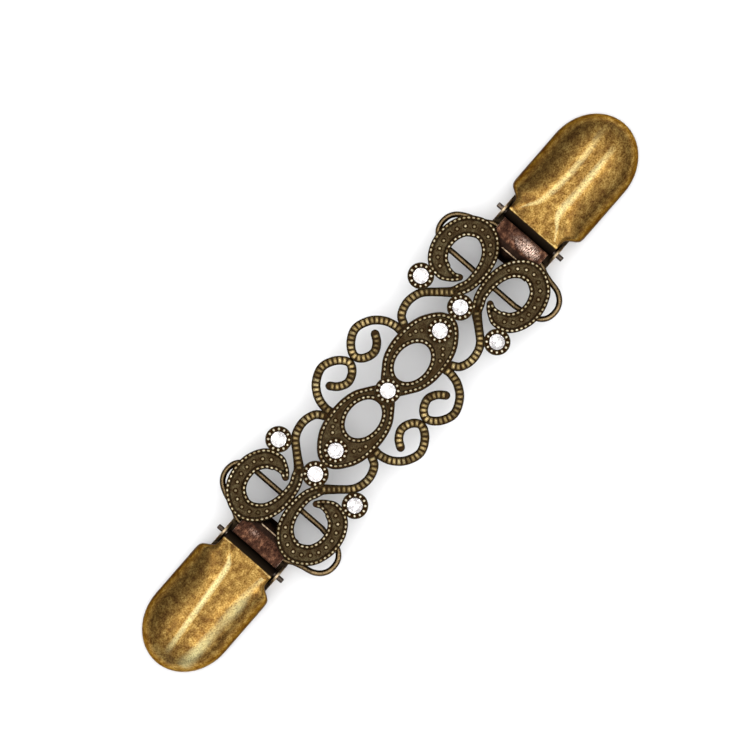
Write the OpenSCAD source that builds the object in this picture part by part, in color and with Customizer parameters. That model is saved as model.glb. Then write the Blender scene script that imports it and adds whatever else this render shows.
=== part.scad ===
// Sweater clip: a pierced scroll casting set with nine stones, held between two
// lever clips by wire rings. Millimetres, +Z up, +X along the clip, the origin
// midway between the two back plates at the surface that they rest on.
// The right half is built, and the left half is its mirror image.

/* [Stones] */
// Diameter of each flat-backed stone
stone_d = 3.0; // [2.8:0.1:3.2]
// Height of each stone above its seat
stone_h = 1.2; // [1.0:0.1:1.4]
// Distance of the inner stone from the middle
inner_stone_x = 15.1; // [14.8:0.1:15.3]
// Distance of the tip stone from the middle
tip_stone_x = 21.0; // [20.8:0.1:21.2]
// Distance of the outer stones from the middle
outer_stone_x = 20.6; // [20.4:0.1:20.8]
// Distance of the outer stones from the long axis
outer_stone_y = 9.6; // [9.4:0.1:9.7]

/* [Filigree] */
// Thickness of the pierced casting under its relief
plate_t = 1.4; // [1.2:0.1:1.8]
// Height of the beaded rims and ribs above the casting
relief_h = 0.35; // [0.25:0.05:0.45]
// Width of a raised rim
rim_w = 0.55; // [0.45:0.05:0.6]
// Distance of a raised rim from the casting's edge
rim_inset = 0.2; // [0.15:0.05:0.3]
// Width of the scroll bands
scroll_w = 1.7; // [1.6:0.05:1.8]
// Outer diameter of each stone's setting
setting_d = 5.1; // [5.0:0.1:5.3]
// Half length and half width of the oval window in each leaf
window_size = [4.1, 3.0]; // [2.5:0.1:4.3]
// How far the casting has slid sideways along the rings' bars
casting_y = 0.4; // [-0.5:0.1:0.5]

/* [Wire ring] */
// Diameter of the ring's wire
wire_d = 1.1; // [1.0:0.05:1.2]
// Distance of the bar under the casting from the middle
far_bar_x = 28.0; // [27.8:0.1:28.2]
// Distance of the bar inside the clip's loop from the middle
near_bar_x = 37.3; // [37.2:0.1:37.5]
// Half length of the bar under the casting
far_bar_half = 10.65; // [10.2:0.05:11.0]
// Radius of the ring's rounded end, to the wire's middle
ring_end_r = 3.0; // [2.8:0.1:3.2]

/* [Clip] */
// Thickness of the clip's sheet metal
sheet_t = 0.5; // [0.45:0.05:0.55]
// Thickness of the back plate
back_t = 0.6; // [0.5:0.05:0.7]
// Width of the copper jaw strip
strip_w = 10.9; // [10.5:0.1:11.0]
// Outside height of the strip's folded loop
loop_h = 4.0; // [3.9:0.1:4.2]
// Distance of the hinge pin from the middle
pin_x = 40.5; // [40.4:0.1:40.6]
// Diameter of the hinge pin
pin_d = 1.0; // [0.9:0.05:1.0]
// Length of the hinge pin
pin_len = 16.2; // [15.6:0.1:16.6]
// Width over the two ears of the back plate
ears_w = 13.7; // [13.6:0.1:13.9]
// Width of the lever
lever_w = 17.3; // [17.0:0.1:17.6]
// Width of the lever's neck
neck_w = 11.9; // [11.5:0.1:12.0]
// Distance of the lever's round end from the middle
lever_end_x = 68.0; // [67.6:0.1:68.4]
// How far the clips have slid sideways along the rings' bars
clip_y = -0.2; // [-0.3:0.1:0.3]

/* [Hidden] */
$fn = 48;

bronze = [0.36, 0.31, 0.21];
gold = [0.66, 0.50, 0.25];
copper = [0.50, 0.33, 0.26];
clear = [0.93, 0.94, 0.96];

// Clearance of a bar or pin in its bore
fit = 0.05;
// Gap between a stone and the wall of its seat
stone_gap = 0.12;
// Gap between a stone's back and the floor of its seat
stone_lift = 0.1;
seat_depth = 0.3;
// How far a stone's collar stands above the rims
collar_up = 0.3;
// Gap between the casting's back and the loops that it rests over
rest_gap = 0.2;

loop_top = back_t + loop_h;
loop_mid_z = back_t + loop_h / 2;
casting_z = loop_top + rest_gap;
casting_top = casting_z + plate_t;
rim_top = casting_top + relief_h;
collar_top = rim_top + collar_up;
seat_z = casting_top - seat_depth;
bar_z = loop_top - sheet_t - wire_d / 2 - 2 * fit;
nose_wall = 0.45;
nose_r = pin_d / 2 + fit + nose_wall;
cam_r = nose_r + 0.2;
pin_z = loop_top + cam_r + 2 * fit;

// Smooth curve through the rows of a table, for any number of columns
function between(a, b, c, d, t) =
    0.5 * (2 * b + (c - a) * t + (2 * a - 5 * b + 4 * c - d) * t * t
        + (3 * b - a - 3 * c + d) * t * t * t);
function smooth(rows, steps) =
    let (last = len(rows) - 1)
    [
        for (i = [0 : last - 1])
            for (k = [0 : steps - 1])
                between(rows[max(i - 1, 0)], rows[i], rows[i + 1], rows[min(i + 2, last)], k / steps),
        rows[last],
    ];

// Left or right side of a band, drawn in from its edge by an inset
function heading(path, i) =
    let (a = path[max(i - 1, 0)], b = path[min(i + 1, len(path) - 1)])
    atan2(b[1] - a[1], b[0] - a[0]);
function side_line(path, side, inset) = [
    for (i = [0 : len(path) - 1])
        let (h = heading(path, i), w = side * max(path[i][2] - inset, 0.05))
        [path[i][0] - w * sin(h), path[i][1] + w * cos(h)],
];
function backwards(list) = [for (i = [len(list) - 1 : -1 : 0]) list[i]];
function with_width(rows, w) = [for (r = rows) [r[0], r[1], w]];

// Flat band along a path whose columns are along, across and half width
module band(path, inset = 0) {
    polygon(concat(side_line(path, 1, inset), backwards(side_line(path, -1, inset))));
    for (end = [path[0], path[len(path) - 1]])
        translate([end[0], end[1]]) circle(r = max(end[2] - inset, 0.05), $fn = 24);
}

// Narrow rim that follows one side of a band
module side_rim(path, side) {
    polygon(concat(side_line(path, side, rim_inset), backwards(side_line(path, side, rim_inset + rim_w))));
}

module both_sides() {
    children();
    mirror([0, 1]) children();
}

module four_ways() {
    both_sides() children();
    mirror([1, 0]) both_sides() children();
}

// Edge of a leaf, from the middle setting to its tip. Columns: along, across
leaf_rows = [
    [0.4, 2.2],
    [2.0, 3.4],
    [4.4, 4.9],
    [7.6, 5.65],
    [11.4, 5.55],
    [14.1, 4.9],
    [16.3, 3.65],
    [18.0, 2.05],
    [18.8, 0.3],
];
leaf_edge = smooth(leaf_rows, 3);

// Small scroll on the leaf's flank, to its curled tip. Columns: along, across
scroll_rows = [
    [10.1, 5.2],
    [10.25, 7.0],
    [9.6, 9.2],
    [7.8, 11.3],
    [4.9, 12.4],
    [2.2, 11.25],
    [0.8, 9.2],
    [1.7, 7.3],
    [3.7, 6.45],
    [5.5, 7.25],
    [6.55, 8.65],
];
scroll_path = smooth(with_width(scroll_rows, scroll_w / 2), 3);

// Arm from the leaf to the stem of the end loop. Columns: along, across, half width
arm_rows = [
    [11.2, 5.2, 0.85],
    [12.6, 7.5, 0.85],
    [15.2, 8.25, 0.85],
    [18.1, 7.5, 0.85],
    [20.4, 5.15, 0.85],
    [22.2, 3.1, 1.0],
    [23.7, 2.2, 1.2],
];
arm_path = smooth(arm_rows, 3);

// End loop from its stem to its hooked tip. Columns: along, across, half width
eye_rows = [
    [23.7, 2.2, 1.2],
    [25.4, 1.5, 1.2],
    [28.2, 1.3, 1.35],
    [30.8, 1.7, 1.5],
    [33.0, 2.8, 1.7],
    [34.6, 4.8, 1.95],
    [34.8, 7.0, 2.05],
    [33.4, 9.3, 2.0],
    [31.4, 10.4, 1.92],
    [29.2, 10.75, 1.9],
    [26.9, 10.35, 1.9],
    [24.9, 9.0, 1.95],
    [24.1, 7.0, 1.75],
    [24.4, 5.2, 1.3],
    [25.2, 4.2, 0.85],
    [26.1, 3.6, 0.45],
];
eye_path = smooth(eye_rows, 3);

// Where the stones sit. Columns: along, across
stone_places = [
    [0, 0],
    [inner_stone_x, 0], [-inner_stone_x, 0],
    [tip_stone_x, 0], [-tip_stone_x, 0],
    [outer_stone_x, outer_stone_y], [outer_stone_x, -outer_stone_y],
    [-outer_stone_x, outer_stone_y], [-outer_stone_x, -outer_stone_y],
];

// Leaf from its edge on one side and the mirror image of that on the other
function flip(list) = [for (p = list) [p[0], -p[1]]];
module leaf(inset = 0) {
    drawn_in = side_line(with_width(leaf_edge, inset), -1, 0);
    outline = [for (p = drawn_in) [p[0], max(p[1], 0)]];
    polygon(concat(outline, backwards(flip(outline))));
}

module oval(size) {
    steps = 40;
    polygon([for (i = [0 : steps - 1]) [size[0] * cos(i * 360 / steps), size[1] * sin(i * 360 / steps)]]);
}

window_x = 7.1;
module window(grow = 0) {
    translate([window_x, 0]) oval([window_size[0] + grow, window_size[1] + grow]);
}

// Plan of the casting before its relief, with every gap cut through
module casting_plan() {
    difference() {
        union() {
            leaf();
            mirror([1, 0]) leaf();
            four_ways() {
                band(scroll_path);
                band(arm_path);
                band(eye_path);
            }
            for (p = stone_places) translate(p) circle(d = setting_d);
        }
        window();
        mirror([1, 0]) window();
    }
}

// Plan of the rims along the leaves and end loops, and the ridge along each scroll
module relief_plan() {
    ridge_inset = rim_inset + 0.1;
    difference() {
        union() {
            for (way = [0, 1]) mirror([way, 0]) {
                difference() {
                    leaf(rim_inset);
                    leaf(rim_inset + rim_w);
                }
                difference() {
                    window(rim_inset + rim_w);
                    window(rim_inset);
                }
            }
            four_ways() {
                band(scroll_path, ridge_inset);
                band(arm_path, ridge_inset);
                side_rim(eye_path, -1);
                side_rim(eye_path, 1);
            }
        }
        for (p = stone_places) translate(p) circle(d = setting_d - 0.1);
    }
}

// Collar round one stone
module collar(place) {
    translate([place[0], place[1], casting_z])
        cylinder(d = setting_d - 2 * rim_inset, h = collar_top - casting_z);
}

module seat(place) {
    translate([place[0], place[1], seat_z])
        cylinder(d = stone_d + 2 * stone_gap, h = collar_top);
}

// Plain lug on the casting's back that the ring's bar turns in
lug_w = 4.4;
lug_r = wire_d / 2 + fit + sheet_t;
module lug() {
    translate([far_bar_x, lug_w / 2, bar_z]) rotate([90, 0, 0]) cylinder(r = lug_r, h = lug_w);
    translate([far_bar_x - lug_r, -lug_w / 2, bar_z])
        cube([2 * lug_r, lug_w, casting_z + plate_t / 2 - bar_z]);
}

module lug_bore() {
    translate([far_bar_x, lug_w, bar_z]) rotate([90, 0, 0])
        cylinder(r = wire_d / 2 + fit, h = 2 * lug_w);
}

module filigree() {
    color(bronze)
    translate([0, casting_y, 0])
    difference() {
        union() {
            translate([0, 0, casting_z]) linear_extrude(height = plate_t) casting_plan();
            translate([0, 0, casting_top - 0.1]) linear_extrude(height = relief_h + 0.1) relief_plan();
            for (p = stone_places) collar(p);
            lug();
            mirror([1, 0, 0]) lug();
        }
        for (p = stone_places) seat(p);
        lug_bore();
        mirror([1, 0, 0]) lug_bore();
    }
}

// Flat-backed stone: a girdle, eight kite facets, eight star facets and a table
girdle_h = 0.25;
kites = 8;
// Radius of the stars' and the table's corners as parts of the stone's own
star_part = 0.76;
table_part = 0.55;
star_rise = 0.6;

// Corners round the stone, the first one turned by a part of the step between them
function corners(count, turn, r, z) = [
    for (i = [0 : count - 1])
        let (a = (i + turn) * 360 / count)
        [r * cos(a), r * sin(a), z],
];

module cut_stone(place) {
    r = stone_d / 2;
    n = 2 * kites;
    star = 2 * n;
    top = star + kites;
    points = concat(
        corners(n, 0, r, 0),
        corners(n, 0, r, girdle_h),
        corners(kites, 0, star_part * r, girdle_h + star_rise * (stone_h - girdle_h)),
        corners(kites, 0.5, table_part * r, stone_h)
    );
    faces = concat(
        [[for (i = [0 : n - 1]) i]],
        [for (i = [0 : n - 1]) [i, n + i, n + (i + 1) % n, (i + 1) % n]],
        [
            for (k = [0 : kites - 1])
                let (m = (k + 1) % kites, rim = n + 2 * k)
                each [
                    [rim, star + k, rim + 1],
                    [rim + 1, star + k, star + m],
                    [rim + 1, star + m, n + (2 * k + 2) % n],
                    [star + k, top + k, star + m],
                    [star + m, top + k, top + m],
                ],
        ],
        [[for (k = [kites - 1 : -1 : 0]) top + k]]
    );
    color(clear)
    translate([place[0], place[1] + casting_y, seat_z + stone_lift])
        polyhedron(points = points, faces = faces);
}

// Wire ring: two bars, rounded ends and slanting sides that bend into the near bar
corner_y = 5.95;
corner_r = 1.5;
end_c = [far_bar_x + ring_end_r, far_bar_half];
to_corner = [near_bar_x - end_c[0], corner_y - end_c[1]];
tangent_a = atan2(to_corner[1], to_corner[0]) + acos(ring_end_r / norm(to_corner));
side_start = end_c + ring_end_r * [cos(tangent_a), sin(tangent_a)];
side_v = side_start - [near_bar_x, corner_y];
bend_a = atan2(-side_v[0], side_v[1]);
bend_len = corner_r * tan(bend_a / 2);

// The bends are a hair thicker than the straight wire, whose ends are sunk into them
sink = 0.05;
module bar(x, half) {
    translate([x, half + sink, 0]) rotate([90, 0, 0]) cylinder(d = wire_d, h = 2 * (half + sink), $fn = 24);
}

module wire_arc(centre, r, from, to) {
    translate(centre) rotate([0, 0, from]) rotate_extrude(angle = to - from)
        translate([r, 0]) circle(d = wire_d + sink / 2, $fn = 24);
}

module ring_side() {
    wire_arc([end_c[0], end_c[1], 0], ring_end_r, tangent_a, 180);
    wire_arc([near_bar_x - corner_r, corner_y - bend_len, 0], corner_r, 0, bend_a);
    translate([side_start[0], side_start[1], 0])
        rotate([0, 0, bend_a]) rotate([90, 0, 0]) translate([0, 0, -sink])
            cylinder(d = wire_d, h = norm(side_v) - bend_len + 2 * sink, $fn = 24);
}

module wire_ring() {
    color(gold)
    translate([0, 0, bar_z]) {
        bar(far_bar_x, far_bar_half);
        bar(near_bar_x, corner_y - bend_len);
        ring_side();
        mirror([0, 1, 0]) ring_side();
    }
}

// Back plate with its two ears. It rests on the surface
ear_t = 0.55;
ear_wall = 0.75;
ear_r = pin_d / 2 + ear_wall;
ear_from_x = 38.2;
ear_to_x = 43.2;
back_from_x = 36.0;
back_end_x = 64.5;
back_end_r = 6.0;

function tangent_point(from, centre, r, side) =
    let (v = centre - from, a = atan2(v[1], v[0]) + side * asin(r / norm(v)))
    from + sqrt(norm(v) * norm(v) - r * r) * [cos(a), sin(a)];

module ear_profile() {
    pin = [pin_x, pin_z];
    inner = [ear_from_x, 0];
    outer = [ear_to_x, 0];
    polygon([inner, outer, tangent_point(outer, pin, ear_r, -1), pin, tangent_point(inner, pin, ear_r, 1)]);
    translate(pin) circle(r = ear_r);
}

module ear() {
    translate([0, ears_w / 2, 0]) rotate([90, 0, 0]) linear_extrude(height = ear_t) ear_profile();
}

module back_plate() {
    color(gold)
    difference() {
        union() {
            linear_extrude(height = back_t) {
                translate([back_from_x, -ears_w / 2])
                    square([back_end_x - back_end_r - back_from_x, ears_w]);
                translate([back_end_x - 2 * back_end_r, -ears_w / 2 + back_end_r])
                    square([2 * back_end_r, ears_w - 2 * back_end_r]);
                for (side = [-1, 1])
                    translate([back_end_x - back_end_r, side * (ears_w / 2 - back_end_r)])
                        circle(r = back_end_r);
            }
            ear();
            mirror([0, 1, 0]) ear();
        }
        translate([pin_x, ears_w, pin_z]) rotate([90, 0, 0])
            cylinder(r = pin_d / 2 + fit / 2, h = 2 * ears_w, $fn = 32);
    }
}

// Copper strip, folded round the ring's near bar, whose upper leg ends in the jaw
fold_x = 35.9;
fold_reach = 3.2;
leg_end_x = 39.2;
jaw_from_x = 44.0;
jaw_x = 47.6;
jaw_foot = 1.1;
jaw_gap = 0.3;
teeth = 9;
tooth_h = 0.45;
tooth_out = 0.35;
tooth_gap = 0.2;

module strip_profile() {
    mid = sheet_t / 2;
    steps = 20;
    path = concat(
        [[leg_end_x, back_t + mid]],
        [
            for (i = [0 : steps])
                let (a = -90 - i * 180 / steps)
                [fold_x + (fold_reach - mid) * cos(a), loop_mid_z + (loop_h / 2 - mid) * sin(a)],
        ],
        [
            [jaw_from_x, loop_top - mid],
            [jaw_x, back_t + jaw_gap + tooth_out + mid],
            [jaw_x + jaw_foot, back_t + jaw_gap + tooth_out + mid],
        ]
    );
    flat = with_width(path, mid);
    polygon(concat(side_line(flat, 1, 0), backwards(side_line(flat, -1, 0))));
}

module jaw_strip() {
    tooth_w = strip_w / teeth;
    half_w = (tooth_w - tooth_gap) / 2;
    color(copper) {
        translate([0, strip_w / 2, 0]) rotate([90, 0, 0]) linear_extrude(height = strip_w) strip_profile();
        for (i = [0 : teeth - 1])
            translate([jaw_x + jaw_foot - sheet_t, (i - teeth / 2 + 0.5) * tooth_w, back_t + jaw_gap])
                rotate([90, 0, 90]) linear_extrude(height = sheet_t)
                    polygon([[0, 0], [half_w, tooth_h], [-half_w, tooth_h]]);
    }
}

// Lever: a domed cover whose neck turns on the hinge pin.
// Columns: along, half width, crest height, rim height
rim_z = back_t + 0.4;
neck_x = pin_x + 0.9;
neck_z = pin_z + 1.2;
end_from_x = lever_end_x - 10;
lever_rows = [
    [neck_x, neck_w / 2, neck_z, pin_z],
    [42.6, neck_w / 2, neck_z + 0.05, pin_z - 0.3],
    [43.6, neck_w / 2 + 0.3, neck_z + 0.12, pin_z - 1.2],
    [44.3, neck_w / 2 + 1.2, neck_z + 0.2, pin_z - 2.4],
    [45.0, lever_w / 2 - 0.5, neck_z + 0.28, pin_z - 3.6],
    [45.9, lever_w / 2 - 0.05, neck_z + 0.36, rim_z + 0.4],
    [47.6, lever_w / 2, neck_z + 0.45, rim_z],
    [51.0, lever_w / 2, neck_z + 0.4, rim_z],
    [54.5, lever_w / 2, neck_z + 0.2, rim_z],
    [end_from_x, lever_w / 2, neck_z - 0.2, rim_z],
];
// The round end stops a little short of its tip, so its last section is an open arch
end_steps = 7;
end_turn = 87;
end_slope = 0.75;
function end_rows(thin) = [
    for (i = [1 : end_steps])
        let (
            a = i * end_turn / end_steps,
            last = lever_rows[len(lever_rows) - 1],
            reach = lever_end_x - end_from_x
        )
        [
            end_from_x + (reach - thin) * sin(a),
            last[1] * cos(a),
            rim_z + (last[2] - rim_z) * pow(cos(a), end_slope),
            rim_z,
        ],
];

// One section across the lever: its crown from foot to foot, which the loft closes
across = 20;
crown_round = 2.6;
crown_flat = 0.42;
least_half = 0.12;
least_rise = 0.05;
function crown(row, thin, drop) =
    let (
        half = max(row[1] - thin, least_half),
        foot = row[3] - drop,
        rise = max(row[2] - thin - foot, least_rise)
    )
    [
        for (j = [0 : across])
            let (v = -cos(j * 180 / across))
            [row[0], half * v, foot + rise * pow(max(1 - pow(abs(v), crown_round), 0), crown_flat)],
    ];

module loft(sections) {
    n = len(sections[0]);
    last = len(sections) - 1;
    polyhedron(
        points = [for (s = sections) for (p = s) p],
        faces = concat(
            [[for (j = [n - 1 : -1 : 0]) j]],
            [[for (j = [0 : n - 1]) last * n + j]],
            [
                for (i = [0 : last - 1])
                    for (j = [0 : n - 1])
                        let (k = (j + 1) % n)
                        [i * n + j, (i + 1) * n + k, (i + 1) * n + j],
            ],
            [
                for (i = [0 : last - 1])
                    for (j = [0 : n - 1])
                        let (k = (j + 1) % n)
                        [i * n + j, i * n + k, (i + 1) * n + k],
            ]
        )
    );
}

// The hollow starts a wall's thickness behind the start of the neck
neck_wall = 0.6;
module lever_shell() {
    outer = concat(lever_rows, end_rows(0));
    neck = lever_rows[0];
    hollow = concat(
        [[neck[0] + neck_wall, neck[1], neck[2], neck[3]]],
        [for (i = [1 : len(lever_rows) - 1]) lever_rows[i]],
        end_rows(sheet_t)
    );
    difference() {
        loft([for (r = outer) crown(r, 0, 0)]);
        loft([for (r = hollow) crown(r, sheet_t, 1)]);
    }
}

// Nose of the neck, curling down in front of the pin, with the cam under it
neck_lap = 0.3;
cam_w = 0.8;
module nose_profile() {
    steps = 10;
    back_x = neck_x + neck_lap;
    polygon(concat(
        [[back_x, neck_z], [back_x, pin_z], [pin_x, pin_z]],
        [
            for (i = [0 : steps])
                let (a = 180 - i * 90 / steps)
                [neck_x + (neck_x - pin_x + nose_r) * cos(a), pin_z + (neck_z - pin_z) * sin(a)],
        ]
    ));
    translate([pin_x, pin_z]) circle(r = nose_r);
    translate([pin_x - cam_w / 2, pin_z - cam_r]) square([cam_w, cam_r]);
}

module lever() {
    color(gold)
    difference() {
        union() {
            lever_shell();
            translate([0, neck_w / 2, 0]) rotate([90, 0, 0]) linear_extrude(height = neck_w) nose_profile();
        }
        translate([pin_x, neck_w, pin_z]) rotate([90, 0, 0])
            cylinder(r = pin_d / 2 + fit, h = 2 * neck_w, $fn = 32);
    }
}

module hinge_pin() {
    color(bronze)
    translate([pin_x, pin_len / 2, pin_z]) rotate([90, 0, 0]) cylinder(d = pin_d, h = pin_len, $fn = 32);
}

module left() {
    mirror([1, 0, 0]) children();
}

// Puts a clip's piece where the clip has slid to
module on_clip() {
    translate([0, clip_y, 0]) children();
}

filigree();
cut_stone(stone_places[0]);  // stone_centre
cut_stone(stone_places[1]);  // stone_inner_right
cut_stone(stone_places[2]);  // stone_inner_left
cut_stone(stone_places[3]);  // stone_tip_right
cut_stone(stone_places[4]);  // stone_tip_left
cut_stone(stone_places[5]);  // stone_upper_right
cut_stone(stone_places[6]);  // stone_lower_right
cut_stone(stone_places[7]);  // stone_upper_left
cut_stone(stone_places[8]);  // stone_lower_left
wire_ring();  // ring_right
left() wire_ring();  // ring_left
on_clip() back_plate();  // back_plate_right
left() on_clip() back_plate();  // back_plate_left
on_clip() jaw_strip();  // jaw_strip_right
left() on_clip() jaw_strip();  // jaw_strip_left
on_clip() lever();  // lever_right
left() on_clip() lever();  // lever_left
on_clip() hinge_pin();  // hinge_pin_right
left() on_clip() hinge_pin();  // hinge_pin_left
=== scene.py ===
import math
import random

import bmesh
import bpy
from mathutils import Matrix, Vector


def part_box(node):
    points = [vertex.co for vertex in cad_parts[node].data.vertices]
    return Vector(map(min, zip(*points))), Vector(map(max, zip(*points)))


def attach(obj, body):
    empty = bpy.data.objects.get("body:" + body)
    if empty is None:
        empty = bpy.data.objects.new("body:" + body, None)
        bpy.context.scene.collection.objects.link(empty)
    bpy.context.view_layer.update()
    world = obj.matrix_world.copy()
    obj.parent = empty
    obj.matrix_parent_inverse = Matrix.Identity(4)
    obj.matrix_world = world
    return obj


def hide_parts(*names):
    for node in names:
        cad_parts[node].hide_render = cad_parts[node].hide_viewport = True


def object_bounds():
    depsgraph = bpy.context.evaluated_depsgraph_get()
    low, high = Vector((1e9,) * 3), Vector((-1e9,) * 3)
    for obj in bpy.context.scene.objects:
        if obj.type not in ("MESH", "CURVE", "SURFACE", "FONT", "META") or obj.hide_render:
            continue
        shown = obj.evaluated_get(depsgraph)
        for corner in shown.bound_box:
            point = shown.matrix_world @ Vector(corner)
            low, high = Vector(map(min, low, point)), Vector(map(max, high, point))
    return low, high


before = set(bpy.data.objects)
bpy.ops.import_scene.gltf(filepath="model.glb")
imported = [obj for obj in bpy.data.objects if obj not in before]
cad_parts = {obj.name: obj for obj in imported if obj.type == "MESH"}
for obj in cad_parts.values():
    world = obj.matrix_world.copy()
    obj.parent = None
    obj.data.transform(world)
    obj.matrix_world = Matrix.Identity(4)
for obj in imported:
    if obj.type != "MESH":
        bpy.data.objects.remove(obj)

mm = 0.001
chance = random.Random(7)
sides = ("right", "left")
cadLow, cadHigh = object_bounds()
print("frame loaded")


def boxOf(node):
    # in millimetres
    return [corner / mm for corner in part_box(node)]


# Shapes are gathered as lists in millimetres, then made into one mesh

def blankShape():
    return {"points": [], "faces": [], "finishes": [], "rub": [], "beads": []}


def addSections(shape, sections, finish=0, loop=False):
    # every section is a closed outline with the same number of points, and a point
    # may carry its wear and painted light as a fourth number: -1 is dark, for patina in a recess and for
    # painted shade, 1 is bright, for rubbed wear and for painted highlights
    start = len(shape["points"])
    count = len(sections[0])
    for section in sections:
        shape["points"].extend(point[:3] for point in section)
        shape["rub"].extend(point[3] if len(point) > 3 else 0.0 for point in section)
    faces = []
    spans = len(sections) if loop else len(sections) - 1
    for i in range(spans):
        a = start + i * count
        b = start + (i + 1) % len(sections) * count
        for j in range(count):
            k = (j + 1) % count
            faces.append((a + j, a + k, b + k, b + j))
    if not loop:
        end = start + (len(sections) - 1) * count
        faces.append(tuple(start + j for j in reversed(range(count))))
        faces.append(tuple(end + j for j in range(count)))
    shape["faces"].extend(faces)
    shape["finishes"].extend([finish] * len(faces))


pillow = {
    "sides": 12,
    "rows": ((1.0, 0.0), (0.97, 0.45), (0.78, 0.8), (0.42, 0.97)),   # how wide, and how high
}


def addPillow(shape, centre, turn, size, power, finish=0, rub=0.0):
    # a low raised dome: power 2 gives an oval bead, a higher one a bar with soft corners
    x, y, z = centre
    along, across, height = size
    rings = []
    for spread, rise in pillow["rows"]:
        ring = []
        for c, s in circleAt(0, 0, 1, pillow["sides"]):
            u = along * spread * math.copysign(abs(c) ** (2 / power), c)
            v = across * spread * math.copysign(abs(s) ** (2 / power), s)
            ring.append((
                x + u * math.cos(turn) - v * math.sin(turn),
                y + u * math.sin(turn) + v * math.cos(turn),
                z + rise * height,
                rub,
            ))
        rings.append(ring)
    addSections(shape, rings, finish)


def makePiece(name, shape, body, slotName, materials, smoothAngle=38, mirrored=False):
    flip = -1 if mirrored else 1
    points = [(flip * x * mm, y * mm, z * mm) for x, y, z in shape["points"]]
    mesh = bpy.data.meshes.new(name)
    mesh.from_pydata(points, [], shape["faces"])
    rub = mesh.attributes.new("rub", "FLOAT", "POINT")
    rub.data.foreach_set("value", shape["rub"])
    for material in materials:
        mesh.materials.append(material)
    mesh.polygons.foreach_set("material_index", shape["finishes"])
    work = bmesh.new()
    work.from_mesh(mesh)
    bmesh.ops.recalc_face_normals(work, faces=work.faces)
    work.to_mesh(mesh)
    work.free()
    mesh.shade_smooth()
    mesh.set_sharp_from_angle(angle=math.radians(smoothAngle))
    piece = bpy.data.objects.new(name, mesh)
    bpy.context.scene.collection.objects.link(piece)
    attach(piece, body)
    return piece


def makePair(name, node, body, slotName, materials, smoothAngle, shapes):
    # one piece at each end in place of its solid, both drawn for the right end
    for side, shape in zip(sides, shapes):
        piece = makePiece(f"{name}_{side}", shape, f"{side}_{body}", slotName, materials,
                          smoothAngle, side == "left")
        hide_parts(f"{node}_{side}")
    print(name, "made for both ends")


# Lines and curves

def shareAlong(value, start, end):
    # 0 up to the start, 1 from the end on
    return min(1.0, max(0.0, (value - start) / (end - start)))


def circleAt(x, y, radius, steps, first=0.0):
    turns = [2 * math.pi * (i + first) / steps for i in range(steps)]
    return [(x + radius * math.cos(a), y + radius * math.sin(a)) for a in turns]


def arcAt(x, y, wide, high, first, last, steps):
    # part of an oval, between two angles in degrees
    turns = [math.radians(first + (last - first) * i / steps) for i in range(steps + 1)]
    return [(x + wide * math.cos(a), y + high * math.sin(a)) for a in turns]


def smoothRows(rows, steps):
    # a smooth curve through the rows of a table
    last = len(rows) - 1
    made = []
    for i in range(last):
        four = rows[max(i - 1, 0)], rows[i], rows[i + 1], rows[min(i + 2, last)]
        for k in range(steps):
            t = k / steps
            made.append(tuple(
                0.5 * (2 * q + (r - p) * t + (2 * p - 5 * q + 4 * r - s) * t * t
                       + (3 * q - p - 3 * r + s) * t ** 3)
                for p, q, r, s in zip(*four)
            ))
    made.append(tuple(float(value) for value in rows[last]))
    return made


def headingAt(path, i, closed=False):
    count = len(path)
    before = path[(i - 1) % count] if closed else path[max(i - 1, 0)]
    after = path[(i + 1) % count] if closed else path[min(i + 1, count - 1)]
    return math.atan2(after[1] - before[1], after[0] - before[0])


def beside(x, y, turn, offset):
    # to the left of the way that a line runs
    return x - offset * math.sin(turn), y + offset * math.cos(turn)


def offsetLine(line, offset, closed=False):
    return [beside(*point[:2], headingAt(line, i, closed), offset) for i, point in enumerate(line)]


def sideLine(path, side, inset):
    return [
        beside(x, y, headingAt(path, i), side * max(half - inset, 0))
        for i, (x, y, half) in enumerate(path)
    ]


def evenPlaces(line, spacing, closed=False):
    # places at even steps along a line, each with the way the line runs there
    points = line + [line[0]] if closed else line
    spans = [math.dist(a[:2], b[:2]) for a, b in zip(points, points[1:])]
    total = sum(spans)
    count = max(1, round(total / spacing))
    places = []
    walked, i = 0.0, 0
    for k in range(count):
        goal = (k + 0.5) * total / count
        while walked + spans[i] < goal:
            walked += spans[i]
            i += 1
        t = (goal - walked) / spans[i]
        a, b = points[i], points[i + 1]
        places.append((
            a[0] + (b[0] - a[0]) * t,
            a[1] + (b[1] - a[1]) * t,
            math.atan2(b[1] - a[1], b[0] - a[0]),
        ))
    return places


# Materials

def startMaterial(name):
    material = bpy.data.materials.new(name)
    material.use_nodes = True
    return material, material.node_tree, material.node_tree.nodes["Principled BSDF"]


def feed(tree, node, values):
    # a node's inputs take plain values, or links from other nodes
    for key, value in values.items():
        if isinstance(value, bpy.types.NodeSocket):
            tree.links.new(value, node.inputs[key])
        else:
            node.inputs[key].default_value = value


def addNode(tree, kind, values, **settings):
    made = tree.nodes.new(kind)
    for key, value in settings.items():
        setattr(made, key, value)
    feed(tree, made, values)
    return made


def noiseAt(tree, size, detail=4.0, stretch=(1, 1, 1)):
    # soft blotches about size millimetres across, fixed to the piece
    where = addNode(tree, "ShaderNodeTexCoord", {}).outputs["Object"]
    mapping = addNode(tree, "ShaderNodeMapping", {"Vector": where, "Scale": stretch})
    blotches = addNode(tree, "ShaderNodeTexNoise", {
        "Vector": mapping.outputs["Vector"],
        "Scale": 1 / (size * mm),
        "Detail": detail,
        "Roughness": 0.6,
    })
    return blotches.outputs["Fac"]


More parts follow.
